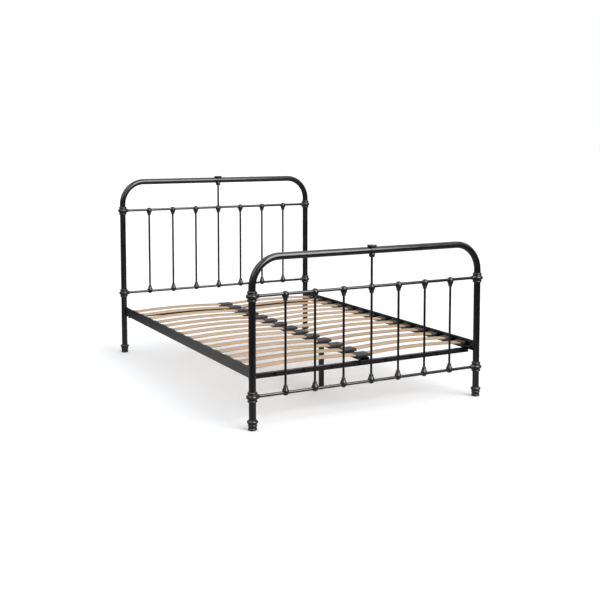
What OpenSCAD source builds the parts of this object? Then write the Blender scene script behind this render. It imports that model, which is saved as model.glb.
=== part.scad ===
// Metal bed frame: an arched tube headboard and footboard with cast knuckles, joined by
// side rails, cross bars and a centre rail that carry two rows of sprung slats.
// Millimetres. X runs across the bed, Y from the footboard to the headboard, Z up.
// The origin is on the floor under the middle of the bed.

/* [Frame] */
// Distance between the post centres across the bed
post_gap = 1390; // [1370:10:1410]
// Distance between the footboard's and the headboard's post centres
bed_len = 2020; // [1990:10:2050]

/* [Boards] */
// Height of the headboard
head_h = 1171; // [1161:1:1200]
// Height of the headboard's upper rail
head_upper_z = 961; // [940:1:965]
// Height of the headboard's lower rail
head_lower_z = 405; // [390:1:420]
// Height of the footboard
foot_h = 883; // [873:1:910]
// Height of the footboard's upper rail
foot_upper_z = 673; // [650:1:676]
// Height of the footboard's lower rail
foot_lower_z = 168; // [150:1:180]
// Diameter of the arch tube
tube_d = 37; // [36:0.5:38]
// Wall of the arch tube
tube_wall = 1.5; // [1.2:0.1:2]
// Radius of the arch tube's two bends, at its centreline
bend_r = 150; // [140:5:155]
// Diameter of the cross rails
bar_d = 16; // [14:0.5:16]
// Diameter of the spindles
spindle_d = 12.5; // [10:0.5:13]
// Distance from spindle to spindle
spindle_pitch = 170; // [160:1:175]

/* [Side rails] */
// Height of a side rail's lower edge
rail_z = 255; // [250:1:257]
// Height of a side rail
rail_h = 58; // [56:1:65]
// Thickness of a side rail
rail_t = 5; // [4:0.5:6]
// Width of the slat ledge
ledge_w = 28; // [26:1:30]

/* [Slats] */
// Number of slats in each of the two rows
slat_count = 14; // [10:1:14]
// Width of a slat
slat_w = 55; // [50:1:56]
// Thickness of a slat
slat_t = 8; // [7:0.5:8]
// Rise of a slat's middle above its ends
slat_bow = 12; // [6:1:14]

/* [Centre legs] */
// Distance of each centre leg from the middle of the bed
leg_y = 472; // [400:1:500]
// Width of a centre leg's square tube
leg_w = 25; // [24:1:26]

/* [Hidden] */
$fn = 48;
black = [0.10, 0.10, 0.10];
bolt_black = [0.14, 0.14, 0.15];
beech = [0.80, 0.66, 0.47];
plastic = [0.05, 0.05, 0.05];

post_x = post_gap / 2;
board_y = bed_len / 2;
tube_r = tube_d / 2;
spindles = 7;
middle_spindle = 4;
gap = 1;                        // a bar's end stops this short of the piece it meets

collar_end = 27;                // half the height of a post collar
socket_reach = 38;              // how far a collar's rail socket reaches from the post's axis
sole = 8;                       // thickness of a foot casting's floor
dome_h = 15;                    // how far a knuckle stands past its rail, away from the spindle
cone_h = 39;                    // how far a knuckle runs along its spindle
crown_h = 28;                   // how far the crown stands above the arch tube's centreline
crown_drop = 36;                // how far the crown's socket hangs below that centreline
band_w = 23;                    // the crown's band round the tube
band_t = 3;

ledge_t = 3;
ledge_h = 25;
ledge_top = 281;
rail_in_x = post_x - rail_t;            // inner face of a side rail
ledge_in_x = rail_in_x - ledge_t;       // inner face of the ledge's upright leg
lug_t = 6;
lug_h = 50;
lug_z = 262;
lug_end_y = board_y - 56;
ledge_end_y = board_y - 60;

box_wall = 1.5;
box_corner = 3;                 // outer corner radius of the box tubes
crossbar_w = 24;
crossbar_t = 3;
crossbar_y = ledge_end_y - crossbar_w / 2;
centre_rail_w = 56;
centre_rail_h = 16;
centre_rail_z = ledge_top - centre_rail_h;
centre_rail_end_y = board_y - 64;
end_plate_t = 4;
end_plate_reach = 48;            // how far an end plate runs back from its cross bar's middle
end_plate_low = rail_z + 1;
end_plate_top = ledge_top - ledge_t - 2.5;

slat_first_y = board_y - 112;
cap_l = 68;
cap_h = 15.5;
cap_wall = 2;
cap_corner = 3;
cap_end = 3;                    // closed end of an outer cap
lip_t = 3;                      // a cap's lip over the edge that it sits on
lip_w = 30;
outer_cap_w = 38;
centre_cap_w = 84;
cap_web = 8;                    // solid middle of a centre cap
slat_end_z = ledge_top + 2.6;
slat_end_play = 2;              // from a slat's end to the bottom of its cap's pocket
slat_side_play = 0.5;

leg_foot_z = 16;
leg_plate_t = 4;
leg_plate_l = 72;
insert_h = 20;
insert_rim = 2;
stud_r = 4;
stud_play = 0.05;
glide_r = 11;

bolt8 = [8, 13, 5.3];           // thread diameter, width across flats, head height
bolt6 = [6, 10, 4];
rail_bolt_z = [274, 300];
rail_bolt_y = board_y - 43;
plate_bolt_z = 266;
plate_bolt_y = [crossbar_y - 22, crossbar_y - 38];
leg_bolt_dy = 28;
bolt_play = 0.6;                // a clearance hole's extra diameter
lug_bolt_play = 0.8;
thread_short = 0.5;             // a bolt's thread ends this far inside the outer face

boards = ["headboard", "footboard"];
sides = ["left", "right"];
ends = ["foot", "head"];

function arc(centre, r, from, to, steps = 8) =
    [for (i = [0:steps]) let (a = from + (to - from) * i / steps) centre + r * [cos(a), sin(a)]];
function rounded(w, h, r) = concat(
    arc([w / 2 - r, h / 2 - r], r, 0, 90, 4), arc([r - w / 2, h / 2 - r], r, 90, 180, 4),
    arc([r - w / 2, r - h / 2], r, 180, 270, 4), arc([w / 2 - r, r - h / 2], r, 270, 360, 4));
function side_sign(s) = s == "left" ? -1 : 1;
function end_sign(e) = e == "foot" ? -1 : 1;
function board_sign(b) = b == "footboard" ? -1 : 1;
function top_z(b) = b == "footboard" ? foot_h : head_h;
function upper_z(b) = b == "footboard" ? foot_upper_z : head_upper_z;
function lower_z(b) = b == "footboard" ? foot_lower_z : head_lower_z;
function spindle_x(i) = (i - middle_spindle) * spindle_pitch;
function slat_y(i) = slat_first_y * (2 * i / (slat_count - 1) - 1);

// Puts a board's piece in the board's plane.
module on_board(b) {
    translate([0, board_sign(b) * board_y, 0]) children();
}

// Draws a piece once on each side of the bed, the right one mirrored.
module both_sides() {
    children();
    mirror([1, 0, 0]) children();
}

module both_ends() {
    children();
    mirror([0, 1, 0]) children();
}

// A round bar along X, centred on the origin.
module cross_bar_x(length, d) {
    rotate([0, 90, 0]) cylinder(h = length, d = d, center = true);
}

// A hex-head bolt that points along +X, with the head's seat at the origin.
module bolt(size, length) {
    rotate([0, 90, 0]) union() {
        cylinder(h = length, d = size[0]);
        translate([0, 0, -size[2]]) cylinder(h = size[2], d = size[1] / cos(30), $fn = 6);
    }
}

// ---- headboard and footboard ----

module tube_section() {
    difference() {
        circle(d = tube_d);
        circle(d = tube_d - 2 * tube_wall);
    }
}

// One tube: up a post, round a bend, across the top and down the other post.
module arch(b) {
    crown_z = top_z(b) - tube_r;
    bend_z = crown_z - bend_r;
    bend_x = post_x - bend_r;
    color(black) on_board(b) union() {
        both_sides() {
            translate([post_x, 0, sole]) linear_extrude(bend_z - sole) tube_section();
            translate([bend_x, 0, bend_z]) rotate([90, 0, 0])
                rotate_extrude(angle = 90) translate([bend_r, 0]) tube_section();
        }
        translate([-bend_x, 0, crown_z]) rotate([0, 90, 0])
            linear_extrude(2 * bend_x) tube_section();
    }
}

// A cross rail, from post to post.
module cross_rail(b, z) {
    color(black) on_board(b) translate([0, 0, z])
        cross_bar_x(2 * (post_x - tube_r - gap), bar_d);
}

module spindle(b, i) {
    clear = bar_d / 2 + gap;
    color(black) on_board(b) translate([spindle_x(i), 0, lower_z(b) + clear])
        cylinder(h = upper_z(b) - lower_z(b) - 2 * clear, d = spindle_d);
}

// The middle spindle carries on above the upper rail, up into the crown.
module short_spindle(b) {
    low = upper_z(b) + bar_d / 2 + gap;
    color(black) on_board(b) translate([0, 0, low])
        cylinder(h = top_z(b) - tube_d - gap - low, d = spindle_d);
}

// A cast knuckle on a rail, turned about its spindle. The spindle leaves towards +Z.
module knuckle(open_dome = false) {
    outline = concat(
        [for (a = [-90:10:0]) [18 * cos(a), 3 + (dome_h + 3) * sin(a)]],
        [[18.4, 7], [17.8, 11], [16, 16], [13.4, 22], [11.4, 27.5], [10.6, 31]],
        arc([9.2, 33.5], 2.4, -60, 80, 5),
        [[spindle_d / 2, cone_h], [0, cone_h]]);
    difference() {
        rotate_extrude() polygon(outline);
        cross_bar_x(50, bar_d);
        translate([0, 0, bar_d / 2 + gap]) cylinder(h = cone_h, d = spindle_d);
        if (open_dome)
            translate([0, 0, -bar_d / 2 - gap - dome_h]) cylinder(h = dome_h, d = spindle_d);
    }
}

module upper_knuckles(b) {
    color(black) on_board(b) for (i = [1:spindles])
        translate([spindle_x(i), 0, upper_z(b)]) mirror([0, 0, 1])
            knuckle(open_dome = (i == middle_spindle));
}

module lower_knuckles(b) {
    color(black) on_board(b) for (i = [1:spindles])
        translate([spindle_x(i), 0, lower_z(b)]) knuckle();
}

// A cast collar round a post, a fat bead between two small rings, with a socket for the rail.
module collar(b, z, s) {
    outline = concat(
        [[tube_r, -collar_end], [21.8, -collar_end]],
        arc([21.2, -20.8], 4.4, -75, 70, 6),
        arc([20, 0], 11.5, -75, 75, 12),
        arc([21.2, 20.8], 4.4, -70, 75, 6),
        [[21.8, collar_end], [tube_r, collar_end]]);
    color(black) on_board(b) translate([side_sign(s) * post_x, 0, z])
        rotate([0, 0, side_sign(s) < 0 ? 0 : 180]) difference() {
            union() {
                rotate_extrude() polygon(outline);
                translate([tube_r + gap, 0, 0]) rotate([0, 90, 0])
                    cylinder(h = socket_reach - tube_r - gap, r1 = 14, r2 = 10);
            }
            translate([0, 0, -collar_end - 1]) cylinder(h = 2 * collar_end + 2, d = tube_d);
            rotate([0, 90, 0]) cylinder(h = socket_reach + 1, d = bar_d);
        }
}

// A cast foot: a bead, a ribbed and slightly tapered sleeve, and a closed floor.
module foot(b, s) {
    outline = concat(
        [[0, 0], [20.5, 0]],
        arc([18.6, 6], 4.9, -50, 60, 6),
        [[21.2, 13], [21.4, 17]],
        arc([19.8, 25.5], 4.7, -65, 65, 6),
        [[22.6, 32.5]],
        arc([20.2, 42.5], 8.3, -72, 78, 10),
        [[21, 52.5], [tube_r, 53], [tube_r, sole], [0, sole]]);
    color(black) on_board(b) translate([side_sign(s) * post_x, 0, 0])
        rotate_extrude() polygon(outline);
}

// The casting that holds the short spindle to the arch: flared above the tube, a band
// round it, and a socket below.
module crown(b) {
    outline = concat(
        [[0, -crown_drop], [11.5, -crown_drop]],
        arc([11.5, -crown_drop + 3.5], 3.5, -60, 0, 3),
        [[16, -24], [15, -17], [12, -6], [11.6, 0], [12.6, 5], [16, 10.5], [20.5, 15.5], [24, 20]],
        arc([23.2, 24.6], 3.2, -25, 80, 5),
        [[14, crown_h - 0.2], [0, crown_h]]);
    color(black) on_board(b) translate([0, 0, top_z(b) - tube_r]) difference() {
        union() {
            rotate_extrude() polygon(outline);
            cross_bar_x(band_w, tube_d + 2 * band_t);
        }
        cross_bar_x(80, tube_d);
        translate([0, 0, -crown_drop - 1]) cylinder(h = crown_drop + 1, d = spindle_d);
    }
}

// ---- base ----

// Left-hand shape of each sided piece; the right one is its mirror image.
module sided(s) {
    mirror([s == "right" ? 1 : 0, 0, 0]) children();
}

module side_rail(s) {
    end_y = board_y - tube_r - gap;
    color(black) sided(s) difference() {
        translate([-post_x, -end_y, rail_z]) cube([rail_t, 2 * end_y, rail_h]);
        both_ends() {
            for (z = rail_bolt_z) translate([-post_x, rail_bolt_y, z])
                cross_bar_x(4 * rail_t, bolt8[0]);
            for (y = plate_bolt_y) translate([-post_x, y, plate_bolt_z])
                cross_bar_x(4 * rail_t, bolt6[0]);
        }
    }
}

// An angle along the inside of the side rail: its flat leg carries the slat caps.
module slat_ledge(s) {
    length = 2 * ledge_end_y;
    color(black) sided(s) difference() {
        union() {
            translate([-rail_in_x, -ledge_end_y, ledge_top - ledge_h])
                cube([ledge_t, length, ledge_h]);
            translate([-rail_in_x, -ledge_end_y, ledge_top - ledge_t])
                cube([ledge_w, length, ledge_t]);
        }
        both_ends() for (y = plate_bolt_y) translate([-rail_in_x, y, plate_bolt_z])
            cross_bar_x(4 * ledge_t, bolt6[0] + bolt_play);
    }
}

// A flat lug welded to the inside of each post, which the side rail is bolted to.
module post_lugs() {
    color(black) both_sides() both_ends() difference() {
        translate([-rail_in_x, lug_end_y, lug_z])
            cube([lug_t, board_y - lug_end_y, lug_h]);
        translate([-post_x, board_y, lug_z - 1]) cylinder(h = lug_h + 2, d = tube_d);
        for (z = rail_bolt_z) translate([-rail_in_x, rail_bolt_y, z])
            cross_bar_x(4 * lug_t, bolt8[0] + lug_bolt_play);
    }
}

module rail_bolts() {
    length = lug_t + rail_t - thread_short;
    color(bolt_black) both_sides() both_ends() for (z = rail_bolt_z)
        translate([rail_in_x - lug_t, rail_bolt_y, z]) bolt(bolt8, length);
}

// An angle across the bed, one flange upright and one flat on top. A plate at each end has
// an arm along the inside of the side rail, which it bolts to. Drawn at the headboard's end.
module crossbar(e) {
    end_x = ledge_in_x - end_plate_t;
    plate_y = crossbar_y - end_plate_reach;
    color(black) mirror([0, e == "foot" ? 1 : 0, 0]) difference() {
        union() {
            translate([-ledge_in_x, ledge_end_y - crossbar_t, centre_rail_z - crossbar_w])
                cube([2 * ledge_in_x, crossbar_t, crossbar_w]);
            translate([-end_x, ledge_end_y - crossbar_w, centre_rail_z - crossbar_t])
                cube([2 * end_x, crossbar_w, crossbar_t]);
            both_sides() translate([end_x, plate_y, end_plate_low])
                cube([end_plate_t, ledge_end_y - plate_y, end_plate_top - end_plate_low]);
        }
        both_sides() for (y = plate_bolt_y) translate([end_x, y, plate_bolt_z])
            cross_bar_x(4 * end_plate_t, bolt6[0] + bolt_play);
        translate([0, crossbar_y, centre_rail_z - crossbar_w])
            cylinder(h = crossbar_w + 1, d = bolt6[0] + bolt_play);
    }
}

module crossbar_bolts() {
    length = end_plate_t + ledge_t + rail_t - thread_short;
    color(bolt_black) both_sides() both_ends() for (y = plate_bolt_y)
        translate([ledge_in_x - end_plate_t, y, plate_bolt_z]) bolt(bolt6, length);
}

// A flat box tube from cross bar to cross bar that carries the middle caps.
module centre_rail() {
    color(black) difference() {
        translate([0, centre_rail_end_y, centre_rail_z + centre_rail_h / 2]) rotate([90, 0, 0])
            linear_extrude(2 * centre_rail_end_y) difference() {
                polygon(rounded(centre_rail_w, centre_rail_h, box_corner));
                polygon(rounded(centre_rail_w - 2 * box_wall, centre_rail_h - 2 * box_wall,
                    box_corner - box_wall));
            }
        both_ends() for (y = [crossbar_y, leg_y - leg_bolt_dy, leg_y + leg_bolt_dy])
            translate([0, y, centre_rail_z - 1]) cylinder(h = box_wall + 2, d = bolt6[0]);
    }
}

// Bolts that come up from below: through each cross bar, and through each leg's plate.
module centre_rail_bolts() {
    reach = box_wall + 1;
    color(bolt_black) both_ends() {
        translate([0, crossbar_y, centre_rail_z - crossbar_t]) rotate([0, -90, 0])
            bolt(bolt6, crossbar_t + reach);
        for (d = [-1, 1]) translate([0, leg_y + d * leg_bolt_dy, centre_rail_z - leg_plate_t])
            rotate([0, -90, 0]) bolt(bolt6, leg_plate_t + reach);
    }
}

// A square tube with a plate welded across its top.
module centre_leg(e) {
    plate_z = centre_rail_z - leg_plate_t;
    color(black) translate([0, end_sign(e) * leg_y, 0]) difference() {
        union() {
            translate([0, 0, leg_foot_z]) linear_extrude(plate_z - leg_foot_z) difference() {
                polygon(rounded(leg_w, leg_w, box_corner));
                polygon(rounded(leg_w - 2 * box_wall, leg_w - 2 * box_wall,
                    box_corner - box_wall));
            }
            translate([0, 0, plate_z]) linear_extrude(leg_plate_t)
                polygon(rounded(centre_rail_w - 4, leg_plate_l, 4));
        }
        for (d = [-1, 1]) translate([0, d * leg_bolt_dy, plate_z - 1])
            cylinder(h = leg_plate_t + 2, d = bolt6[0] + bolt_play);
    }
}

// The threaded plug in each centre leg's end.
module leg_inserts() {
    inner_w = leg_w - 2 * box_wall;
    color(plastic) both_ends() translate([0, leg_y, leg_foot_z - insert_rim]) difference() {
        union() {
            linear_extrude(insert_rim) polygon(rounded(leg_w, leg_w, box_corner));
            linear_extrude(insert_rim + insert_h)
                polygon(rounded(inner_w, inner_w, box_corner - box_wall));
        }
        translate([0, 0, -1]) cylinder(h = insert_h + 4, r = stud_r + stud_play);
    }
}

// A levelling glide: a round pad on a screw that turns up and down in the leg's insert.
module glide(e) {
    stud_top = 40;
    outline = concat(
        [[0, 0], [glide_r - 1.5, 0]],
        arc([glide_r - 1.5, 1.5], 1.5, -60, 0, 3),
        [[glide_r - 0.6, 5], [glide_r - 3, 6.5], [glide_r - 4, 8],
            [stud_r, 8], [stud_r, stud_top - 1], [stud_r - 1, stud_top], [0, stud_top]]);
    color(plastic) translate([0, end_sign(e) * leg_y, 0]) rotate_extrude() polygon(outline);
}

// ---- slats ----

// One bowed slat of the left row, drawn at Y = 0.
module slat() {
    outer_x = -rail_in_x + 1 + cap_end + slat_end_play;
    inner_x = -cap_web / 2 - slat_end_play;
    half = (inner_x - outer_x) / 2;
    bow_r = (half * half + slat_bow * slat_bow) / (2 * slat_bow);
    half_angle = asin(half / bow_r);
    translate([(outer_x + inner_x) / 2, 0, slat_end_z + slat_bow - bow_r])
        rotate([90, 0, 0]) rotate([0, 0, 90 - half_angle])
            rotate_extrude(angle = 2 * half_angle, $fn = 720)
                translate([bow_r, -slat_w / 2]) square([slat_t, slat_w]);
}

module slats(s) {
    color(beech) sided(s) for (i = [0:slat_count - 1])
        translate([0, slat_y(i), 0]) slat();
}

// The moulded outline of a slat cap, seen along the slat, from Z = 0 up.
module cap_block(length) {
    translate([0, 0, cap_h / 2]) rotate([90, 0, 90])
        linear_extrude(length) polygon(rounded(cap_l, cap_h, cap_corner));
}

module cap_pocket(length) {
    translate([0, -slat_w / 2 - slat_side_play, cap_wall])
        cube([length, slat_w + 2 * slat_side_play, cap_h - 2 * cap_wall]);
}

// Caps that sit on a ledge, with a lip over its edge; each holds one slat's outer end.
module outer_slat_caps() {
    lip_x = ledge_w - 1;
    lip_h = 9;
    color(plastic) both_sides() for (i = [0:slat_count - 1])
        translate([-rail_in_x + 1, slat_y(i), ledge_top]) union() {
            difference() {
                cap_block(outer_cap_w);
                translate([cap_end, 0, 0]) cap_pocket(outer_cap_w);
            }
            translate([lip_x, -lip_w / 2, -lip_h]) cube([lip_t, lip_w, lip_h + 1]);
        }
}

// Double caps that clip over the centre rail; each holds the inner ends of two slats.
module centre_slat_caps() {
    clip_h = 12;
    pocket = (centre_cap_w - cap_web) / 2 + 1;
    color(plastic) for (i = [0:slat_count - 1])
        translate([0, slat_y(i), ledge_top]) union() {
            difference() {
                translate([-centre_cap_w / 2, 0, 0]) cap_block(centre_cap_w);
                both_sides() translate([cap_web / 2, 0, 0]) cap_pocket(pocket);
            }
            both_sides() translate([centre_rail_w / 2, -lip_w / 2, -clip_h])
                cube([lip_t, lip_w, clip_h + 1]);
        }
}

for (b = boards) {
    arch(b);
    cross_rail(b, upper_z(b));
    cross_rail(b, lower_z(b));
    short_spindle(b);
    crown(b);
    upper_knuckles(b);
    lower_knuckles(b);
    for (i = [1:spindles])
        spindle(b, i);
    for (s = sides) {
        collar(b, upper_z(b), s);
        collar(b, lower_z(b), s);
        foot(b, s);
    }
}
for (s = sides) {
    side_rail(s);
    slat_ledge(s);
    slats(s);
}
for (e = ends) {
    crossbar(e);
    centre_leg(e);
    glide(e);
}
post_lugs();
rail_bolts();
crossbar_bolts();
centre_rail();
centre_rail_bolts();
leg_inserts();
outer_slat_caps();
centre_slat_caps();
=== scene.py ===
"""A black metal bed frame with an arched tube headboard and footboard, on a pale studio floor.

Everything is in metres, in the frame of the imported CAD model: X across the bed, Y from the
footboard to the headboard, Z up, with the origin on the floor under the middle of the bed.
"""

import math
import random

import bmesh
import bpy
from mathutils import Matrix, Vector, noise


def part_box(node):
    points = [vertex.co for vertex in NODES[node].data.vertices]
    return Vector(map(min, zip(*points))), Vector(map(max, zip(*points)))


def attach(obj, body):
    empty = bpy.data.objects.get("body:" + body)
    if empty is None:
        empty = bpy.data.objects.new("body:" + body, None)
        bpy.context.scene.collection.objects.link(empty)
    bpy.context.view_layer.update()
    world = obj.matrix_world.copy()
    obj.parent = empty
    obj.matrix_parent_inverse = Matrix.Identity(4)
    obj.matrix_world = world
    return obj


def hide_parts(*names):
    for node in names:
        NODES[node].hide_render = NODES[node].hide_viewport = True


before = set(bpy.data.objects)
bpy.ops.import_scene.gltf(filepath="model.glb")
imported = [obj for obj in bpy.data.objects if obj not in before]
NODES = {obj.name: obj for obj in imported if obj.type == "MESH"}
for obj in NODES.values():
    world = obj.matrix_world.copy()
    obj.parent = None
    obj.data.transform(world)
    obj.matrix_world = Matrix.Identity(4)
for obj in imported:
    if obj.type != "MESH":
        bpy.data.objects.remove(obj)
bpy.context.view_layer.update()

MM = 0.001
BOARDS = ("headboard", "footboard")
SIDES = {"left": -1, "right": 1}
ENDS = {"foot": -1, "head": 1}
SPINDLES = range(1, 8)
MIDDLE_SPINDLE = 4


# ---- sizes read from the frame ----


def size(node):
    low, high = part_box(node)
    return high - low


def middle(node):
    low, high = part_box(node)
    return (low + high) / 2


def solid_boxes(node):
    """The box of each separate solid in a CAD node, as (lowest, highest) corners."""
    bm = bmesh.new()
    bm.from_mesh(NODES[node].data)
    bmesh.ops.remove_doubles(bm, verts=bm.verts, dist=1e-6)
    left = set(bm.verts)
    boxes = []
    while left:
        todo = [left.pop()]
        found = []
        while todo:
            vert = todo.pop()
            found.append(vert.co.copy())
            for edge in vert.link_edges:
                other = edge.other_vert(vert)
                if other in left:
                    left.remove(other)
                    todo.append(other)
        boxes.append((Vector(map(min, *found)), Vector(map(max, *found))))
    bm.free()
    return boxes


TUBE_R = size("headboard_arch").y / 2
POST_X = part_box("headboard_arch")[1].x - TUBE_R
BOARD_Y = middle("headboard_arch").y
BAR_R = size("headboard_upper_rail").z / 2
SPINDLE_R = size("headboard_spindle_1").x / 2
SLAT_BOXES = sorted(solid_boxes("slats_left"), key=lambda box: box[0].y)
SLAT_YS = [(low.y + high.y) / 2 for low, high in SLAT_BOXES]
SLAT_W = SLAT_BOXES[0][1].y - SLAT_BOXES[0][0].y
LEDGE_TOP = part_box("slat_ledge_left")[1].z
CAP_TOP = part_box("outer_slat_caps")[1].z

# Sizes that no box gives, the same as in the CAD model
BEND_R = 150 * MM
SLAT_T = 8 * MM
CAP_WALL = 2 * MM
CAP_END = 3 * MM
LIP_T = 3 * MM
LIP_W = 30 * MM
LUG_T = 6 * MM
END_PLATE_T = 4 * MM
CROSSBAR_T = 3 * MM
CROSSBAR_FLANGE = 20 * MM
LEG_PLATE_T = 4 * MM

# Thread diameter, width across flats and head height of each bolt
M8 = (8 * MM, 13 * MM, 5.3 * MM)
M6 = (6 * MM, 10 * MM, 4 * MM)


# ---- outlines ----


def arc(centre, radius, start, end, steps=8):
    """Points on an arc, from one angle in degrees to another."""
    angles = [math.radians(start + (end - start) * i / steps) for i in range(steps + 1)]
    return [(centre[0] + radius * math.cos(a), centre[1] + radius * math.sin(a)) for a in angles]


def soften(outline, step=0.7, passes=2):
    """Spaces an outline's points evenly and rounds its corners, as a casting's are. Millimetres."""
    points = [Vector(p) for p in outline]
    spaced = [points[0]]
    for a, b in zip(points, points[1:]):
        count = max(1, round((b - a).length / step))
        spaced += [a.lerp(b, (i + 1) / count) for i in range(count)]
    for _ in range(passes):
        inner = [(a + 2 * b + c) / 4 for a, b, c in zip(spaced, spaced[1:], spaced[2:])]
        spaced = [spaced[0], *inner, spaced[-1]]
    return [(p.x * MM, p.y * MM) for p in spaced]


def rounded_rectangle(width, height, radius, steps=5):
    """A rounded rectangle's points, centred on the origin."""
    w = width / 2 - radius
    h = height / 2 - radius
    corners = (((w, h), 0), ((-w, h), 90), ((-w, -h), 180), ((w, -h), 270))
    return [p for centre, turn in corners for p in arc(centre, radius, turn, turn + 90, steps)]


# ---- mesh building ----


def finish_piece(name, bm, material, body="frame", replaces=(), sharp=40):
    """Turns a bmesh into a piece of the bed, riding on its body in place of its CAD nodes."""
    bmesh.ops.recalc_face_normals(bm, faces=bm.faces)
    mesh = bpy.data.meshes.new(name)
    bm.to_mesh(mesh)
    bm.free()
    mesh.shade_smooth()
    mesh.set_sharp_from_angle(angle=math.radians(sharp))
    mesh.materials.append(material)
    piece = bpy.data.objects.new(name, mesh)
    bpy.context.scene.collection.objects.link(piece)
    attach(piece, body)
    if replaces:
        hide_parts(*replaces)
    return piece


def lathe(bm, outline, place, steps=64, shape=None):
    """Turns (radius, height) points about Z. shape(radius, height, angle) may vary the radius."""
    rings = []
    for radius, height in outline:
        if radius < 1e-7:
            rings.append([bm.verts.new(place @ Vector((0, 0, height)))])
            continue
        ring = []
        for k in range(steps):
            angle = 2 * math.pi * k / steps
            r = shape(radius, height, angle) if shape else radius
            point = Vector((r * math.cos(angle), r * math.sin(angle), height))
            ring.append(bm.verts.new(place @ point))
        rings.append(ring)
    join_rings(bm, rings)


def join_rings(bm, rings):
    """Faces between each ring of points and the next; a ring of one point closes to a tip."""
    for a, b in zip(rings, rings[1:]):
        count = max(len(a), len(b))
        for k in range(count):
            n = (k + 1) % count
            if len(a) == 1:
                bm.faces.new((a[0], b[n], b[k]))
            elif len(b) == 1:
                bm.faces.new((a[k], a[n], b[0]))
            else:
                bm.faces.new((a[k], a[n], b[n], b[k]))


def sweep(bm, section, stations):
    """Carries a closed section along stations of (point, across, up) and closes both ends."""
    rings = []
    for point, across, up in stations:
        rings.append([bm.verts.new(point + across * u + up * v) for u, v in section])
    join_rings(bm, rings)
    bm.faces.new(rings[0])
    bm.faces.new(rings[-1])
    return rings


def block(bm, low, high, radius):
    """A box between two corners with its edges rounded."""
    low = Vector(low)
    high = Vector(high)
    made = bmesh.ops.create_cube(bm, size=1, matrix=Matrix.Translation((low + high) / 2)
                                 @ Matrix.Diagonal((*(high - low), 1)))
    edges = {e for v in made["verts"] for e in v.link_edges}
    bmesh.ops.bevel(bm, geom=list(edges), offset=radius, segments=2, affect="EDGES", profile=0.7)


def cast_skin(depth, seed):
    """A lathe shape that gives a casting its slightly uneven skin and a faint parting line."""
    bumps_per_metre = 90
    seam_height = 0.25 * MM
    seam_width = 0.05

    def shape(radius, height, angle):
        point = Vector((math.cos(angle) * radius, math.sin(angle) * radius, height + seed))
        rough = noise.noise(point * bumps_per_metre) * depth
        off_line = abs(math.sin(angle))
        seam = seam_height * max(0, 1 - off_line / seam_width)
        return radius + rough + seam

    return shape


# ---- materials ----


def material_with(name, **inputs):
    """A new material and its Principled shader, with these plain inputs set."""
    material = bpy.data.materials.new(name)
    material.use_nodes = True
    shader = material.node_tree.nodes["Principled BSDF"]
    for key, value in inputs.items():
        shader.inputs[key.replace("_", " ")].default_value = value
    return material, shader


def add_node(material, kind, links=None, **settings):
    """Adds a shader node. links gives its inputs, as sockets to link or plain values."""
    tree = material.node_tree
    made = tree.nodes.new(kind)
    for key, value in settings.items():
        setattr(made, key, value)
    for key, value in (links or {}).items():
        if isinstance(value, bpy.types.NodeSocket):
            tree.links.new(value, made.inputs[key])
        else:
            made.inputs[key].default_value = value
    return made


def place_of(material, stretch=(1, 1, 1)):
    """The surface's own coordinates in metres, stretched along each axis."""
    coordinates = add_node(material, "ShaderNodeTexCoord")
    mapping = add_node(material, "ShaderNodeMapping",
                       {"Vector": coordinates.outputs["Object"], "Scale": stretch})
    return mapping.outputs["Vector"]


def noise_of(material, place, scale, detail=3, roughness=0.5):
    made = add_node(material, "ShaderNodeTexNoise", {
        "Vector": place, "Scale": scale, "Detail": detail, "Roughness": roughness})
    return made.outputs["Fac"]


def ramp_of(material, factor, stops):
    """A colour ramp through (position, colour) stops."""
    made = add_node(material, "ShaderNodeValToRGB", {"Fac": factor})
    elements = made.color_ramp.elements
    while len(elements) < len(stops):
        elements.new(0.5)
    for element, (position, colour) in zip(elements, stops):
        element.position = position
        element.color = (*colour, 1)
    return made.outputs["Color"]


def remap(material, factor, low, high, start=0.0, end=1.0):
    """Spreads a value's range start to end over low to high."""
    made = add_node(material, "ShaderNodeMapRange", {
        "Value": factor, "From Min": start, "From Max": end, "To Min": low, "To Max": high})
    return made.outputs["Result"]


def mixed(material, factor, first, second, blend="MIX"):
    made = add_node(material, "ShaderNodeMix", data_type="RGBA", blend_type=blend)
    tree = material.node_tree
    for index, value in ((0, factor), (6, first), (7, second)):
        if isinstance(value, bpy.types.NodeSocket):
            tree.links.new(value, made.inputs[index])
        elif index:
            made.inputs[index].default_value = (*value, 1)
        else:
            made.inputs[index].default_value = value
    return made.outputs[2]


def maths(material, operation, first, second=0.0):
    made = add_node(material, "ShaderNodeMath", operation=operation)
    tree = material.node_tree
    for index, value in enumerate((first, second)):
        if isinstance(value, bpy.types.NodeSocket):
            tree.links.new(value, made.inputs[index])
        else:
            made.inputs[index].default_value = value
    return made.outputs["Value"]


def wire(material, shader, colour=None, roughness=None, height=None, depth=0.0001, strength=1.0):
    """Links a colour, a roughness and a bump height to a shader."""
    links = material.node_tree.links
    if colour is not None:
        links.new(colour, shader.inputs["Base Color"])
    if roughness is not None:
        links.new(roughness, shader.inputs["Roughness"])
    if height is not None:
        bump = add_node(material, "ShaderNodeBump",
                        {"Height": height, "Distance": depth, "Strength": strength})
        links.new(bump.outputs["Normal"], shader.inputs["Normal"])


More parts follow.
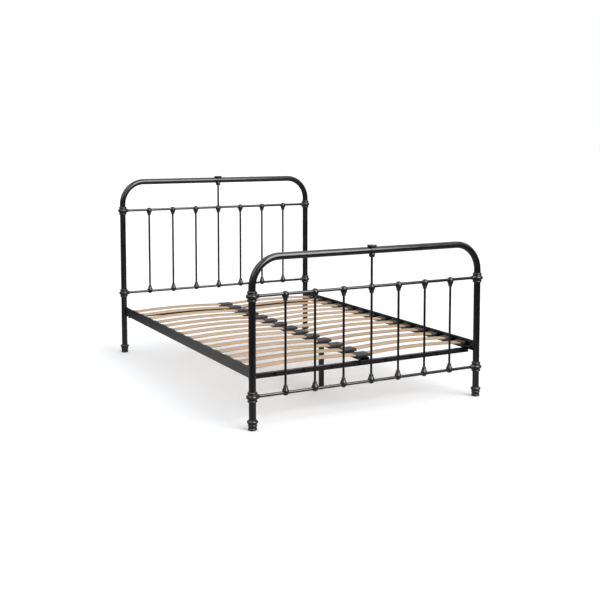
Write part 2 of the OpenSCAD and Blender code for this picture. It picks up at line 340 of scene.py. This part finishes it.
def dust_of(material, place):
    """How much fine dust lies on a surface: most on what faces up, in patches."""
    geometry = add_node(material, "ShaderNodeNewGeometry")
    parts = add_node(material, "ShaderNodeSeparateXYZ", {"Vector": geometry.outputs["Normal"]})
    upward = remap(material, parts.outputs["Z"], 0, 1, 0.55, 1)
    patches = remap(material, noise_of(material, place, 9, 5, 0.6), 0.2, 1, 0.35, 0.7)
    return maths(material, "MULTIPLY", upward, patches)


def coated_metal(name, rough, peel, peel_depth, tint):
    """Black powder coat: near black, satin, with an orange-peel skin, faint dust and scuffs."""
    material, shader = material_with(name, Specular_IOR_Level=0.5)
    place = place_of(material)
    broad = noise_of(material, place, 5, 4)
    speckle = noise_of(material, place, 1400, 1)
    base = ramp_of(material, broad, ((0.3, [0.75 * c for c in tint]), (0.7, tint)))
    flecked = mixed(material, remap(material, speckle, 0, 0.35, 0.55, 0.8), base,
                    [2.2 * c for c in tint])
    dusted = mixed(material, maths(material, "MULTIPLY", dust_of(material, place), 0.015),
                   flecked, (0.30, 0.29, 0.27))
    scuffs = remap(material, noise_of(material, place_of(material, (1, 1, 3)), 38, 6, 0.65),
                   0, 1, 0.62, 0.78)
    worn = mixed(material, maths(material, "MULTIPLY", scuffs, 0.25), dusted,
                 [3.2 * c for c in tint])
    satin = remap(material, noise_of(material, place, 16, 5, 0.6), rough - 0.05, rough + 0.07,
                  0.3, 0.7)
    roughness = maths(material, "ADD", satin, maths(material, "MULTIPLY", scuffs, 0.10))
    skin = noise_of(material, place, peel, 2, 0.55)
    wire(material, shader, worn, roughness, skin, peel_depth, 0.6)
    return material


def beech(name):
    """Lacquered beech veneers, bent and glued: short pores along the grain, layered edges."""
    material, shader = material_with(name, Coat_Weight=0.25, Coat_Roughness=0.22)
    tone = add_node(material, "ShaderNodeAttribute", attribute_name="slat_tone")
    layer = add_node(material, "ShaderNodeAttribute", attribute_name="slat_layer")
    coordinates = add_node(material, "ShaderNodeTexCoord")
    shift = add_node(material, "ShaderNodeCombineXYZ", {
        "X": maths(material, "MULTIPLY", tone.outputs["Fac"], 37.0),
        "Z": maths(material, "MULTIPLY", tone.outputs["Fac"], 11.0)})
    moved = add_node(material, "ShaderNodeVectorMath", {
        0: coordinates.outputs["Object"], 1: shift.outputs["Vector"]}, operation="ADD")

    def grain(stretch, scale, detail, roughness=0.5):
        mapping = add_node(material, "ShaderNodeMapping",
                           {"Vector": moved.outputs["Vector"], "Scale": stretch})
        return noise_of(material, mapping.outputs["Vector"], scale, detail, roughness)

    bands = grain((0.9, 26, 26), 1.0, 4, 0.55)
    figure = ramp_of(material, bands, (
        (0.30, (0.40, 0.26, 0.145)), (0.48, (0.49, 0.33, 0.19)), (0.68, (0.56, 0.395, 0.24))))
    pores = remap(material, grain((45, 900, 900), 1.0, 2), 0, 1, 0.60, 0.72)
    flecked = mixed(material, maths(material, "MULTIPLY", pores, 0.55), figure,
                    (0.30, 0.165, 0.08))
    slat_shade = ramp_of(material, tone.outputs["Fac"], (
        (0.0, (0.86, 0.82, 0.78)), (0.5, (1.0, 0.98, 0.96)), (1.0, (1.0, 1.0, 1.0))))
    shaded = mixed(material, 1.0, flecked, slat_shade, "MULTIPLY")
    veneer = maths(material, "FRACT", maths(material, "MULTIPLY", layer.outputs["Fac"], 6.0))
    glue = maths(material, "LESS_THAN", veneer, 0.14)
    inside = maths(material, "LESS_THAN", maths(material, "ABSOLUTE",
                   maths(material, "SUBTRACT", layer.outputs["Fac"], 0.5)), 0.42)
    geometry = add_node(material, "ShaderNodeNewGeometry")
    parts = add_node(material, "ShaderNodeSeparateXYZ", {"Vector": geometry.outputs["Normal"]})
    sideways = maths(material, "LESS_THAN",
                     maths(material, "ABSOLUTE", parts.outputs["Z"]), 0.5)
    line = maths(material, "MULTIPLY", maths(material, "MULTIPLY", glue, inside), sideways)
    layered = mixed(material, maths(material, "MULTIPLY", line, 0.6), shaded,
                    (0.22, 0.115, 0.05))
    roughness = remap(material, grain((6, 90, 90), 1.0, 4), 0.36, 0.52, 0.3, 0.7)
    height = maths(material, "SUBTRACT", bands, maths(material, "MULTIPLY", pores, 0.8))
    wire(material, shader, layered, roughness, height, 0.00012, 0.5)
    return material


def moulded_plastic(name):
    """Black moulded plastic with a fine spark-eroded texture."""
    material, shader = material_with(name, Specular_IOR_Level=0.42)
    place = place_of(material)
    broad = noise_of(material, place, 30, 4)
    base = ramp_of(material, broad, ((0.3, (0.012, 0.012, 0.013)), (0.7, (0.024, 0.024, 0.025))))
    dusted = mixed(material, maths(material, "MULTIPLY", dust_of(material, place), 0.05), base,
                   (0.40, 0.38, 0.35))
    roughness = remap(material, noise_of(material, place, 120, 4), 0.48, 0.66, 0.3, 0.7)
    wire(material, shader, dusted, roughness, noise_of(material, place, 1800, 2), 0.00006, 0.6)
    return material


def black_zinc(name):
    """Black zinc plate: a thin dark metallic finish with a faint drift and fine turning marks."""
    material, shader = material_with(name, Metallic=0.6)
    place = place_of(material)
    drift = ramp_of(material, noise_of(material, place, 60, 4), (
        (0.3, (0.020, 0.021, 0.024)), (0.55, (0.034, 0.034, 0.035)),
        (0.75, (0.050, 0.047, 0.042))))
    roughness = remap(material, noise_of(material, place, 260, 5, 0.6), 0.28, 0.50, 0.3, 0.7)
    marks = noise_of(material, place_of(material, (1, 9, 9)), 900, 2)
    wire(material, shader, drift, roughness, marks, 0.00004, 0.5)
    return material


TUBE_COAT = coated_metal("powder_coated_tube", 0.17, 900, 0.00004, (0.0038, 0.0038, 0.0040))
CAST_COAT = coated_metal("powder_coated_casting", 0.24, 320, 0.00016, (0.0038, 0.0038, 0.0039))
BEECH = beech("lacquered_beech")
PLASTIC = moulded_plastic("moulded_black_plastic")
BOLT_BLACK = black_zinc("black_zinc_plate")


# ---- headboard and footboard ----


def arch_stations(board):
    """Stations up the left post, round the arch and down the right post, with finer bends."""
    low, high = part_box(f"{board}_arch")
    y = middle(f"{board}_arch").y
    crown_z = high.z - TUBE_R
    bend_z = crown_z - BEND_R
    bend_x = POST_X - BEND_R
    along_y = Vector((0, 1, 0))
    line = [(-POST_X, low.z + (bend_z - low.z) * i / 12, 180) for i in range(13)]
    line += [(-bend_x + BEND_R * math.cos(math.radians(a)),
              bend_z + BEND_R * math.sin(math.radians(a)), a) for a in range(177, 90, -3)]
    line += [(-bend_x + 2 * bend_x * i / 12, crown_z, 90) for i in range(13)]
    line += [(bend_x + BEND_R * math.cos(math.radians(a)),
              bend_z + BEND_R * math.sin(math.radians(a)), a) for a in range(87, 0, -3)]
    line += [(POST_X, bend_z + (low.z - bend_z) * i / 12, 0) for i in range(13)]
    stations = []
    for x, z, angle in line:
        outward = Vector((math.cos(math.radians(angle)), 0, math.sin(math.radians(angle))))
        stations.append((Vector((x, y, z)), outward, along_y))
    return stations


def make_arch(board):
    bm = bmesh.new()
    section = arc((0, 0), TUBE_R, 0, 360, 64)[:-1]
    sweep(bm, section, arch_stations(board))
    finish_piece(f"{board}_arch_tube", bm, TUBE_COAT,
                 replaces=[f"{board}_arch"])


def straight_bar(bm, start, end, radius, steps=40):
    """A round bar from one point to another, with slightly broken edges at its ends."""
    length = (end - start).length
    edge = 0.5 * MM
    outline = [(0, 0), (radius - edge, 0), (radius, edge)]
    outline += [(radius, edge + (length - 2 * edge) * i / 8) for i in range(1, 8)]
    outline += [(radius, length - edge), (radius - edge, length), (0, length)]
    turn = Vector((0, 0, 1)).rotation_difference(end - start).to_matrix().to_4x4()
    lathe(bm, outline, Matrix.Translation(start) @ turn, steps)


def make_rail(board, level):
    node = f"{board}_{level}_rail"
    low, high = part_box(node)
    centre = middle(node)
    bm = bmesh.new()
    straight_bar(bm, Vector((low.x, centre.y, centre.z)), Vector((high.x, centre.y, centre.z)),
                 BAR_R)
    finish_piece(f"{node}_bar", bm, TUBE_COAT, replaces=[node])


def make_spindle(node):
    low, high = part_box(node)
    centre = middle(node)
    bm = bmesh.new()
    straight_bar(bm, Vector((centre.x, centre.y, low.z)), Vector((centre.x, centre.y, high.z)),
                 SPINDLE_R)
    finish_piece(f"{node}_bar", bm, TUBE_COAT, replaces=[node])


def knuckle_outline(open_dome):
    """A pear shape: a low dome on one side of the rail, a cone down the spindle on the other."""
    bar = SPINDLE_R / MM
    dome = [(0, -15)]
    if open_dome:
        dome = [(bar, -14.6), (bar + 2.2, -14.8), (bar + 3.2, -13.9)]
    first = -62 if open_dome else -84
    dome += [(18 * math.cos(math.radians(a)), 3 + 18 * math.sin(math.radians(a)))
             for a in range(first, 1, 6)]
    cone = [(18.4, 7), (17.8, 11), (16, 16), (13.4, 22), (11.4, 27.5), (10.6, 31)]
    lip = arc((9.2, 33.5), 2.4, -60, 80, 6)
    return soften(dome + cone + lip + [(bar + 0.6, 38.6), (bar, 39)], 0.9, 2)


def make_knuckles(board, level):
    node = f"{board}_{level}_knuckles"
    rail = middle(f"{board}_{level}_rail")
    bm = bmesh.new()
    for i in SPINDLES:
        x = middle(f"{board}_spindle_{i}").x
        place = Matrix.Translation((x, rail.y, rail.z))
        if level == "upper":
            place = place @ Matrix.Rotation(math.pi, 4, "X")
        open_dome = level == "upper" and i == MIDDLE_SPINDLE
        lathe(bm, knuckle_outline(open_dome), place, 48, cast_skin(0.22 * MM, i + rail.z))
    finish_piece(f"{node}_cast", bm, CAST_COAT, replaces=[node])


def collar_outline():
    bore = TUBE_R / MM
    points = [(bore, -26.6), (bore + 2.6, -27)]
    points += arc((21.2, -20.8), 4.4, -75, 70, 10)
    points += arc((20, 0), 11.5, -72, 72, 18)
    points += arc((21.2, 20.8), 4.4, -70, 75, 10)
    points += [(bore + 2.6, 27), (bore, 26.6)]
    return soften(points, 0.7, 2)


def boss_outline():
    """The rail's socket, measured out from the post's centre: a taper with a rounded mouth."""
    bar = BAR_R / MM
    return soften([(15.5, 19), (14.6, 27), (12.6, 30.5), (11.2, 33), (10.6, 36)]
                  + arc((9.4, 36.6), 1.4, 0, 90, 4) + [(bar, 37.6)], 0.7, 2)


def make_collar(board, level, side):
    node = f"{board}_{level}_collar_{side}"
    z = middle(node).z
    y = middle(f"{board}_arch").y
    place = Matrix.Translation((SIDES[side] * POST_X, y, z))
    towards_middle = Matrix.Rotation(-SIDES[side] * math.pi / 2, 4, "Y")
    bm = bmesh.new()
    lathe(bm, collar_outline(), place, 96, cast_skin(0.20 * MM, z + SIDES[side]))
    lathe(bm, boss_outline(), place @ towards_middle, 48, cast_skin(0.12 * MM, z))
    finish_piece(f"{node}_cast", bm, CAST_COAT, replaces=[node])


def foot_outline():
    bore = TUBE_R / MM
    points = [(0, 0), (19.6, 0), (20.6, 0.8)]
    points += arc((18.6, 6), 4.9, -50, 60, 8)
    points += [(21.2, 13), (21.4, 17)]
    points += arc((19.8, 25.5), 4.7, -65, 65, 8)
    points += [(22.6, 32.5)]
    points += arc((20.2, 42.5), 8.3, -72, 78, 14)
    points += [(21, 52.5), (bore, 53)]
    return soften(points, 0.7, 2)


def make_foot(board, side):
    node = f"{board}_foot_{side}"
    y = middle(f"{board}_arch").y
    place = Matrix.Translation((SIDES[side] * POST_X, y, 0))
    bm = bmesh.new()
    lathe(bm, foot_outline(), place, 96, cast_skin(0.18 * MM, y + SIDES[side]))
    finish_piece(f"{node}_cast", bm, CAST_COAT, replaces=[node])


def make_crown(board):
    node = f"{board}_crown"
    tube_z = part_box(f"{board}_arch")[1].z - TUBE_R
    y = middle(f"{board}_arch").y
    bar = SPINDLE_R / MM
    points = [(bar, -35.4), (bar + 2, -36), (11.5, -36)]
    points += arc((11.5, -32.5), 3.5, -60, 0, 4)
    points += [(16, -24), (15, -17), (12, -6), (11.6, 0), (12.6, 5), (16, 10.5), (20.5, 15.5),
               (24, 20)]
    points += arc((23.2, 24.6), 3.2, -25, 80, 8)
    points += [(14, 27.8), (0, 28)]
    place = Matrix.Translation((0, y, tube_z))
    bm = bmesh.new()
    lathe(bm, soften(points, 0.7, 2), place, 72, cast_skin(0.18 * MM, tube_z))
    band_r = TUBE_R / MM + 3
    band = soften([(TUBE_R / MM, -11.5), (band_r - 0.6, -11.5), (band_r, -10.9), (band_r, 10.9),
                   (band_r - 0.6, 11.5), (TUBE_R / MM, 11.5)], 0.8, 2)
    lathe(bm, band, place @ Matrix.Rotation(math.pi / 2, 4, "Y"), 72,
          cast_skin(0.15 * MM, tube_z))
    finish_piece(f"{node}_cast", bm, CAST_COAT, replaces=[node])


def make_board(board):
    make_arch(board)
    make_crown(board)
    make_spindle(f"{board}_short_spindle")
    for i in SPINDLES:
        make_spindle(f"{board}_spindle_{i}")
    for level in ("upper", "lower"):
        make_rail(board, level)
        make_knuckles(board, level)
        for side in SIDES:
            make_collar(board, level, side)
    for side in SIDES:
        make_foot(board, side)


# ---- slats and their caps ----


def make_slats(side):
    """A row of bowed slats, each with rounded edges, its own tone, and veneer layers marked."""
    node = f"slats_{side}"
    low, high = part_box(node)
    half = (high.x - low.x) / 2
    bow = high.z - low.z - SLAT_T
    radius = (half * half + bow * bow) / (2 * bow)
    centre_x = (low.x + high.x) / 2
    centre_z = high.z - SLAT_T - radius
    spread = math.asin(half / radius)
    section = rounded_rectangle(SLAT_W, SLAT_T, 2.4 * MM, 4)
    chance = random.Random(11 + SIDES[side])
    bm = bmesh.new()
    tone = bm.verts.layers.float.new("slat_tone")
    layer = bm.verts.layers.float.new("slat_layer")
    steps = 48
    for y in SLAT_YS:
        shade = chance.random()
        stations = []
        for k in range(steps + 1):
            angle = spread * (2 * k / steps - 1)
            up = Vector((math.sin(angle), 0, math.cos(angle)))
            point = Vector((centre_x, y, centre_z)) + up * (radius + SLAT_T / 2)
            stations.append((point, Vector((0, 1, 0)), up))
        for ring in sweep(bm, section, stations):
            for vert, (_, v) in zip(ring, section):
                vert[tone] = shade
                vert[layer] = v / SLAT_T + 0.5
    finish_piece(f"{node}_veneer", bm, BEECH, replaces=[node])


def cap(bm, mouth, closed, y, width, depth):
    """A moulded cap lofted along X, from a rounded closed end to a mouth with a pocket in it."""
    height = CAP_TOP - LEDGE_TOP
    z = LEDGE_TOP + height / 2
    pocket_w = SLAT_W + 1 * MM
    pocket_h = height - 2 * CAP_WALL
    way = 1 if closed > mouth else -1
    corner = 3 * MM
    edge = 2 * MM
    lip = 0.6 * MM
    rings = []

    def ring(x, inset=0, w=width, h=height, r=corner):
        outline = rounded_rectangle(w - 2 * inset, h - 2 * inset, max(r - inset, 0.3 * MM))
        rings.append([bm.verts.new((x, y + u, z + v)) for u, v in outline])

    for angle in (90, 60, 30, 0):
        turn = math.radians(angle)
        ring(closed - way * edge * (1 - math.sin(turn)), edge * (1 - math.cos(turn)))
    for angle in (0, 45, 90):
        turn = math.radians(angle)
        ring(mouth + way * lip * (1 - math.sin(turn)), lip * (1 - math.cos(turn)))
    for x in (mouth, mouth + way * depth):
        ring(x, 0, pocket_w, pocket_h, 0.8 * MM)
    join_rings(bm, rings)
    bm.faces.new(rings[0])
    bm.faces.new(rings[-1])


def cap_lip(bm, inner_x, outer_x, y, low_z):
    """The tongue of a cap that hangs over the edge of what the cap sits on."""
    block(bm, (min(inner_x, outer_x), y - LIP_W / 2, low_z),
          (max(inner_x, outer_x), y + LIP_W / 2, LEDGE_TOP + 1 * MM), 0.7 * MM)


def make_outer_caps():
    node = "outer_slat_caps"
    ledge_edge = -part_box("slat_ledge_left")[1].x
    bm = bmesh.new()
    for low, high in solid_boxes(node):
        way = 1 if high.x > 0 else -1
        mouth, closed = sorted((low.x, high.x), key=abs)
        y = (low.y + high.y) / 2
        cap(bm, mouth, closed, y, high.y - low.y, abs(closed - mouth) - CAP_END)
        cap_lip(bm, way * (ledge_edge - LIP_T), way * ledge_edge, y, low.z)
    finish_piece(f"{node}_moulded", bm, PLASTIC, replaces=[node])


def make_centre_caps():
    node = "centre_slat_caps"
    web = 4 * MM
    rail_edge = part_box("centre_rail")[1].x
    bm = bmesh.new()
    for low, high in solid_boxes(node):
        y = (low.y + high.y) / 2
        for way in (-1, 1):
            cap(bm, way * high.x, way * 0.2 * MM, y, high.y - low.y, high.x - web)
            cap_lip(bm, way * rail_edge, way * (rail_edge + LIP_T), y, low.z)
    finish_piece(f"{node}_moulded", bm, PLASTIC, replaces=[node])


# ---- bolts, glides and welds ----


def hex_head(bm, place, across, height):
    """A hexagon head with chamfered corners, from its seat at Z = 0 up."""
    flat = across / 2

    def shape(radius, at, angle):
        if radius < flat * 0.9:
            return radius
        sector = (angle + math.pi / 6) % (math.pi / 3) - math.pi / 6
        hexagon = flat / math.cos(sector)
        chamfer = flat * 0.96 + max(0, (height - at)) * 1.9
        return min(hexagon, chamfer) * radius / flat

    outline = [(0, 0), (flat * 0.95, 0), (flat, height * 0.05)]
    outline += [(flat, height * f) for f in (0.3, 0.6, 0.8, 0.9, 1.0)]
    outline += [(flat * 0.88, height), (flat * 0.84, height * 0.94), (0, height * 0.93)]
    lathe(bm, outline, place, 72, shape)


def bolt(bm, place, diameter, across, head, length):
    """A bolt with its head below Z = 0 and its threaded shank above."""
    hex_head(bm, place @ Matrix.Rotation(math.pi, 4, "X"), across, head)
    threaded_rod(bm, place, diameter / 2, 0, length)


def threaded_rod(bm, place, radius, start, end, pitch=1.25 * MM, depth=0.55 * MM):
    """A right-hand screw thread from start to end along Z."""
    steps = 24
    per_turn = 6

    def shape(r, at, angle):
        if r < radius * 0.95:
            return r
        turn = (at / pitch - angle / (2 * math.pi)) % 1
        return r - depth * abs(2 * turn - 1)

    count = max(4, math.ceil((end - start) / pitch * per_turn))
    outline = [(0, start)]
    outline += [(radius, start + (end - start) * i / count) for i in range(count + 1)]
    outline += [(radius - depth, end), (0, end)]
    lathe(bm, outline, place, steps, shape)


def make_side_bolts(node, diameter, across, head):
    """Bolts that point outwards along X, from inside the bed."""
    bm = bmesh.new()
    for low, high in solid_boxes(node):
        centre = (low + high) / 2
        way = 1 if centre.x > 0 else -1
        inner = min(abs(low.x), abs(high.x))
        outer = max(abs(low.x), abs(high.x))
        seat = Vector((way * (inner + head), centre.y, centre.z))
        place = Matrix.Translation(seat) @ Matrix.Rotation(way * math.pi / 2, 4, "Y")
        bolt(bm, place, diameter, across, head, outer - inner - head)
    finish_piece(f"{node}_threaded", bm, BOLT_BLACK, replaces=[node], sharp=50)


def make_upward_bolts(node, diameter, across, head):
    """Bolts that point straight up, with their heads below."""
    bm = bmesh.new()
    for low, high in solid_boxes(node):
        centre = (low + high) / 2
        place = Matrix.Translation((centre.x, centre.y, low.z + head))
        bolt(bm, place, diameter, across, head, high.z - low.z - head)
    finish_piece(f"{node}_threaded", bm, BOLT_BLACK, replaces=[node], sharp=50)


def make_glide(end):
    """A levelling glide: a moulded pad, gripped by ribs round its edge, on a threaded stud."""
    node = f"{end}_glide"
    low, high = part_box(node)
    centre = middle(node)
    place = Matrix.Translation((centre.x, centre.y, 0))
    pad_r = size(node).x / 2 / MM
    stud_r = 4
    points = [(0, 0), (pad_r - 1.6, 0)]
    points += arc((pad_r - 1.5, 1.5), 1.5, -60, 0, 5)
    points += [(pad_r - 0.6, 5), (pad_r - 3, 6.5), (pad_r - 4, 8), (stud_r - 1, 8)]

    def ribs(radius, at, angle):
        on_edge = radius > (pad_r - 1.2) * MM and 1.2 * MM < at < 5.5 * MM
        return radius - (0.35 * MM * (0.5 + 0.5 * math.cos(18 * angle)) if on_edge else 0)

    bm = bmesh.new()
    lathe(bm, soften(points, 0.6, 1), place, 108, ribs)
    threaded_rod(bm, place, stud_r * MM, 7.5 * MM, high.z)
    finish_piece(f"{node}_pad", bm, PLASTIC, body=node, replaces=[node])


def weld(bm, start, end, radius, seed):
    """A bead of weld from one point to another, rippled by its run."""
    chance = random.Random(seed)
    length = (end - start).length
    count = max(6, round(length / (0.9 * MM)))
    drift = chance.random() * 6
    outline = [(0, 0)]
    for i in range(1, count):
        f = i / count
        ripple = 0.10 * math.sin(f * length / (2.4 * MM) * 2 * math.pi + drift)
        ends = min(1, 4 * f, 4 * (1 - f))
        outline.append((radius * (0.9 + ripple) * math.sqrt(ends), f * length))
    outline.append((0, length))
    turn = Vector((0, 0, 1)).rotation_difference(end - start).to_matrix().to_4x4()
    lathe(bm, outline, Matrix.Translation(start) @ turn, 12)


def lug_welds(bm):
    """Down each post, where its lug meets it."""
    low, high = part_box("post_lugs")
    face_x = high.x - LUG_T
    from_post = math.sqrt(TUBE_R ** 2 - (POST_X - face_x) ** 2)
    end = 2 * MM
    bead_r = 2.2 * MM
    for sx in (-1, 1):
        for sy in (-1, 1):
            at = Vector((sx * face_x, sy * (BOARD_Y - from_post), 0))
            weld(bm, at + Vector((0, 0, low.z + end)), at + Vector((0, 0, high.z - end)),
                 bead_r, 10 + 2 * sx + sy)


def crossbar_welds(bm, end):
    """Where a cross bar's two flanges meet each end plate."""
    low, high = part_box(f"{end}_crossbar")
    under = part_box("centre_rail")[0].z - CROSSBAR_T
    plate_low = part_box("side_rail_left")[0].z + 1 * MM
    way = ENDS[end]
    front = max(high.y, -low.y) - CROSSBAR_T
    gap = 2 * MM
    bead_r = 1.8 * MM
    for side, sx in SIDES.items():
        x = sx * (high.x - END_PLATE_T)
        weld(bm, Vector((x, way * (front - gap), under)),
             Vector((x, way * (front - CROSSBAR_FLANGE), under)), bead_r, 20 + sx)
        weld(bm, Vector((x, way * front, plate_low)), Vector((x, way * front, under - gap)),
             bead_r, 30 + sx)


def leg_welds(bm, end):
    """Round a centre leg's tube, under its plate."""
    half = size("leg_inserts").x / 2
    inset = half - 3 * MM
    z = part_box("centre_rail")[0].z - LEG_PLATE_T
    y = middle(f"{end}_centre_leg").y
    bead_r = 1.8 * MM
    for way in (-1, 1):
        weld(bm, Vector((way * half, y - inset, z)), Vector((way * half, y + inset, z)),
             bead_r, 40 + way)
        weld(bm, Vector((-inset, y + way * half, z)), Vector((inset, y + way * half, z)),
             bead_r, 50 + way)


def ledge_welds(bm):
    """Short stitches along the lower edge of each slat ledge."""
    low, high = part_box("slat_ledge_right")
    stitches = 7
    half = 16 * MM
    from_end = 110 * MM
    bead_r = 2 * MM
    for sx in (-1, 1):
        for i in range(stitches):
            y = (high.y - from_end) * (2 * i / (stitches - 1) - 1)
            x = sx * high.x
            weld(bm, Vector((x, y - half, low.z)), Vector((x, y + half, low.z)), bead_r,
                 60 + sx * i)


def make_welds():
    bm = bmesh.new()
    lug_welds(bm)
    ledge_welds(bm)
    for end in ENDS:
        crossbar_welds(bm, end)
        leg_welds(bm, end)
    finish_piece("weld_beads", bm, CAST_COAT)


# ---- flat steel parts keep their CAD shape ----


def dress(node, material, edge):
    """Gives a CAD node its material and breaks its sharp edges."""
    piece = NODES[node]
    piece.data.materials.clear()
    piece.data.materials.append(material)
    bevel = piece.modifiers.new("broken_edges", "BEVEL")
    bevel.width = edge
    bevel.segments = 2
    bevel.limit_method = "ANGLE"
    bevel.angle_limit = math.radians(50)
    bevel.harden_normals = True


def dress_flat_parts():
    for node in ("side_rail_left", "side_rail_right"):
        dress(node, TUBE_COAT, 0.8 * MM)
    for node in ("slat_ledge_left", "slat_ledge_right", "post_lugs", "foot_crossbar",
                 "head_crossbar", "centre_rail", "foot_centre_leg", "head_centre_leg"):
        dress(node, TUBE_COAT, 0.4 * MM)
    dress("leg_inserts", PLASTIC, 0.3 * MM)


# ---- studio ----


def make_floor():
    """A wide white floor. In gloss it is a pool of light round the bed.

    It glows faintly, for the camera alone, so that the shadows on it stay pale."""
    bm = bmesh.new()
    bmesh.ops.create_grid(bm, x_segments=1, y_segments=1, size=60)
    mesh = bpy.data.meshes.new("studio_floor")
    bm.to_mesh(mesh)
    bm.free()
    floor = bpy.data.objects.new("studio_floor", mesh)
    bpy.context.scene.collection.objects.link(floor)
    material, shader = material_with("studio_paper", Roughness=0.9, Specular_IOR_Level=0.1)
    place = place_of(material)
    tone = ramp_of(material, noise_of(material, place, 3, 3), (
        (0.3, (0.90, 0.90, 0.90)), (0.7, (0.92, 0.92, 0.92))))
    reach = add_node(material, "ShaderNodeVectorMath", {0: place}, operation="LENGTH")
    pool = ramp_of(material, remap(material, reach.outputs["Value"], 0, 1, 1, 4), (
        (0.0, (0.55, 0.55, 0.55)), (0.2, (0.40, 0.40, 0.40)), (0.55, (0.07, 0.07, 0.07))))
    across = add_node(material, "ShaderNodeSeparateXYZ", {"Vector": place})
    to_the_left = remap(material, across.outputs["X"], 0, 0.5, -1.2, -5)
    side_lit = mixed(material, to_the_left, pool, (0.4, 0.4, 0.4))
    paths = add_node(material, "ShaderNodeLightPath")
    wire(material, shader, mixed(material, paths.outputs["Is Glossy Ray"], tone, side_lit))
    glow = maths(material, "MULTIPLY", paths.outputs["Is Camera Ray"], 0.13)
    material.node_tree.links.new(glow, shader.inputs["Emission Strength"])
    shader.inputs["Emission Color"].default_value = (0.91, 1.0, 1.10, 1)
    mesh.materials.append(material)


def make_softbox(name, place, target, width, height, power):
    """A soft light that shows only as a reflection in gloss; the world and the sun do the rest."""
    data = bpy.data.lights.new(name, "AREA")
    data.shape = "RECTANGLE"
    data.size = width
    data.size_y = height
    data.energy = power
    lamp = bpy.data.objects.new(name, data)
    lamp.location = place
    lamp.rotation_euler = (Vector(target) - Vector(place)).to_track_quat("-Z", "Y").to_euler()
    lamp.visible_diffuse = False
    lamp.visible_camera = False
    bpy.context.scene.collection.objects.link(lamp)


def make_sun(name, direction, spread, strength):
    """A very soft sun: it lights the whole floor evenly. direction points towards it."""
    data = bpy.data.lights.new(name, "SUN")
    data.angle = math.radians(spread)
    data.energy = strength
    lamp = bpy.data.objects.new(name, data)
    lamp.rotation_euler = Vector(direction).to_track_quat("Z", "Y").to_euler()
    lamp.visible_glossy = False
    bpy.context.scene.collection.objects.link(lamp)


def make_world():
    """White for the camera, light grey for soft light; in gloss dark low down, bright overhead."""
    world = bpy.data.worlds.new("studio")
    bpy.context.scene.world = world
    world.use_nodes = True
    coordinates = add_node(world, "ShaderNodeTexCoord")
    parts = add_node(world, "ShaderNodeSeparateXYZ", {0: coordinates.outputs["Generated"]})
    paths = add_node(world, "ShaderNodeLightPath")
    in_gloss = ramp_of(world, parts.outputs["Z"], (
        (0.0, (0.15, 0.15, 0.15)), (0.14, (0.55, 0.55, 0.55)), (0.66, (1.0, 1.0, 1.0)),
        (1.0, (2.0, 2.0, 2.0))))
    unseen = mixed(world, paths.outputs["Is Glossy Ray"], (0.74, 0.74, 0.745), in_gloss)
    seen = mixed(world, paths.outputs["Is Camera Ray"], unseen, (1.0, 1.0, 1.0))
    tree = world.node_tree
    tree.links.new(seen, tree.nodes["Background"].inputs["Color"])


def make_studio():
    make_floor()
    make_world()
    make_softbox("front_softbox", (1.5, -5.6, 4.1), (0.5, -0.8, 0.9), 4.2, 5.8, 800)
    make_softbox("side_softbox", (-4.6, -1.35, 4.6), (-0.7, -1.0, 0.95), 1.0, 4.4, 120)
    make_sun("front_sun", (0.8, -1.7, 1.7), 44, 1.8)


def make_camera():
    """The photograph's viewpoint: from beyond the bed's left foot corner, a little above it."""
    data = bpy.data.cameras.new("camera")
    data.sensor_width = 36
    data.lens = 59.0
    data.shift_y = -0.1333
    camera = bpy.data.objects.new("camera", data)
    azimuth = math.radians(-28.11)
    tilt = math.radians(4.89)
    forward = Vector((-math.sin(azimuth) * math.cos(tilt), math.cos(azimuth) * math.cos(tilt),
                      -math.sin(tilt)))
    camera.location = (-2.7436, -5.3467, 1.4605)
    camera.rotation_euler = forward.to_track_quat("-Z", "Y").to_euler()
    bpy.context.scene.collection.objects.link(camera)
    bpy.context.scene.camera = camera


for board in BOARDS:
    make_board(board)
for side in SIDES:
    make_slats(side)
make_outer_caps()
make_centre_caps()
make_side_bolts("rail_bolts", *M8)
make_side_bolts("crossbar_bolts", *M6)
make_upward_bolts("centre_rail_bolts", *M6)
for end in ENDS:
    make_glide(end)
make_welds()
dress_flat_parts()
make_studio()
make_camera()
bpy.context.scene.view_settings.view_transform = "Standard"
